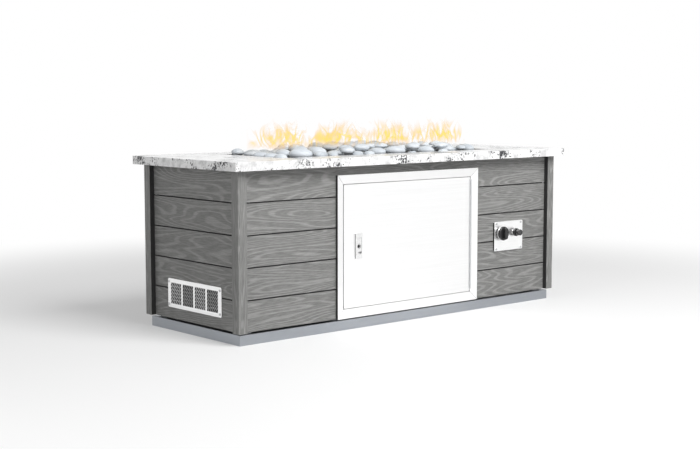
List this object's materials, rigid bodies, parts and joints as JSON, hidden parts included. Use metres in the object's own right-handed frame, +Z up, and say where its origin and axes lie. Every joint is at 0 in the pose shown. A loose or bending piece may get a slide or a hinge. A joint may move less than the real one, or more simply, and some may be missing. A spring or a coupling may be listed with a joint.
{
  "type": "gas fire pit",
  "caption": "Long gas fire pit: pale stone top with a pebble burner over a cabinet of grey composite boards, with a hinged steel door and a gas control plate.",
  "frame": {"origin": "on the floor under the middle of the body", "axes": "+X along the length, to the right as seen from the door side; the door faces -Y; +Z up"},
  "size_m": [1.636, 0.616, 0.6493],
  "materials": {
    "stone_top": "polished pale stone with dark flecks",
    "pebble": "smooth tumbled pebbles",
    "fill_rock": "coarse dark fill",
    "board": "grey composite with embossed grain",
    "trim": "grey composite with embossed grain",
    "base_aluminium": "brushed",
    "frame_metal": "mill finish",
    "stainless": "satin brushed",
    "pan_steel": "plain sheet",
    "hinge_steel": "satin",
    "latch_metal": "satin plated",
    "lock_metal": "plated",
    "grille_metal": "pale coated",
    "screw_steel": "plated",
    "brass": "machined",
    "stem_steel": "turned",
    "knob_plastic": "fine satin",
    "black_plastic": "satin",
    "button_plastic": "satin",
    "gas_tube": "drawn tube",
    "ceramic": "white",
    "gasket": "black foam",
    "lead_rubber": "matt"
  },
  "bodies": {
    "cabinet": {"base_ring": "base_aluminium", "board_front_left_1": "board", "board_front_left_2": "board", "board_front_left_3": "board", "board_front_left_4": "board", "board_front_right_1": "board", "board_front_right_2": "board", "board_front_right_3": "board", "board_front_right_4": "board", "board_front_top": "board", "board_left_1": "board", "board_left_2": "board", "board_left_3": "board", "board_left_4": "board", "board_left_5": "board", "boards_back": "board", "boards_right": "board", "burner_pan": "pan_steel", "burner_tube": "pan_steel", "control_plate": "stainless", "control_screws": "screw_steel", "corner_posts": "frame_metal", "door_frame": "stainless", "door_gasket": "gasket", "door_studs": "frame_metal", "electrode": "ceramic", "fill_bed": "fill_rock", "gas_inlet": "brass", "gas_line": "gas_tube", "grille_left": "grille_metal", "grille_right": "grille_metal", "grille_screws": "screw_steel", "hinge_frame_leaf": "hinge_steel", "hinge_pin": "hinge_steel", "igniter_body": "stainless", "igniter_collar": "black_plastic", "ignition_lead": "lead_rubber", "mixer_block": "brass", "pan_frame": "frame_metal", "pebbles": "pebble", "stone_top": "stone_top", "top_frame": "frame_metal", "trim_back_left": "trim", "trim_back_right": "trim", "trim_front_left": "trim", "trim_front_right": "trim", "valve_body": "brass", "valve_outlet": "brass"},
    "door": {"door_leaf": "stainless", "hinge_door_leaf": "hinge_steel", "latch_cup": "latch_metal"},
    "latch_pull": {"latch_pull": "latch_metal"},
    "key": {"key_plug": "lock_metal"},
    "valve_core": {"valve_core": "brass"},
    "knob": {"knob": "knob_plastic", "knob_bezel": "stainless", "valve_stem": "stem_steel"},
    "igniter_button": {"igniter_button": "button_plastic"}
  },
  "joints": [
    {"name": "door_swing", "type": "hinge", "parent": "cabinet", "child": "door", "pos_m": [0.321, -0.267, 0.294], "axis": [0, 0, 1], "range_deg": [0, 120]},
    {"name": "latch_pull_lift", "type": "hinge", "parent": "door", "child": "latch_pull", "pos_m": [-0.251, -0.2645, 0.319], "axis": [-1, 0, 0], "range_deg": [0, 50], "stiffness_Nm_per_rad": 0.05},
    {"name": "key_turn", "type": "hinge", "parent": "door", "child": "key", "pos_m": [-0.251, -0.25, 0.292], "axis": [0, 1, 0], "range_deg": [0, 90]},
    {"name": "valve_turn", "type": "hinge", "parent": "cabinet", "child": "valve_core", "pos_m": [0.4905, -0.25, 0.286], "axis": [0, -1, 0], "range_deg": [0, 180]},
    {"name": "knob_push", "type": "slide", "parent": "valve_core", "child": "knob", "axis": [0, 1, 0], "range_m": [0, 0.004], "stiffness_N_per_m": 800},
    {"name": "igniter_press", "type": "slide", "parent": "cabinet", "child": "igniter_button", "axis": [0, 1, 0], "range_m": [0, 0.004], "stiffness_N_per_m": 600}
  ]
}
